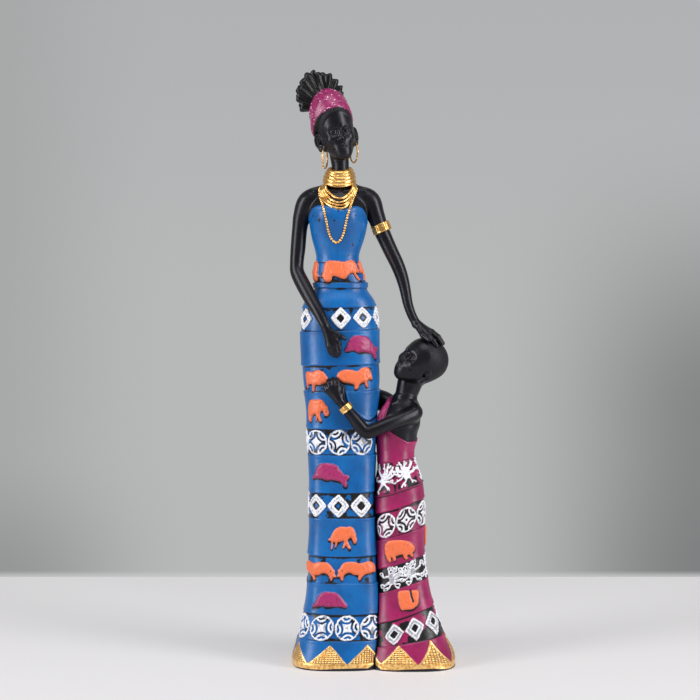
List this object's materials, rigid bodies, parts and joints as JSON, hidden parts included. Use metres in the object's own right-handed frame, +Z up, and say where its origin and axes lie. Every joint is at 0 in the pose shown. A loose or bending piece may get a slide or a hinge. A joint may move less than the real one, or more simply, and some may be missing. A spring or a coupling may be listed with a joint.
{
  "type": "painted figure of a mother and child",
  "caption": "Tall slender figure of a mother in a banded wrap dress with her hand on the head of a child at her side, on one shared flat foot.",
  "frame": {"origin": "a point on the flat underside, between the mother's and the child's feet", "axes": "+Z up along the mother, -Y to the front, +X from the mother towards the child"},
  "size_m": [0.0939, 0.056, 0.3358],
  "materials": {
    "painted_resin": "satin hand-painted cast resin",
    "earring_gold": "polished gold-coloured wire"
  },
  "bodies": {
    "root": {"figure": "painted_resin", "earring_right": "earring_gold", "earring_left": "earring_gold"}
  },
  "joints": []
}
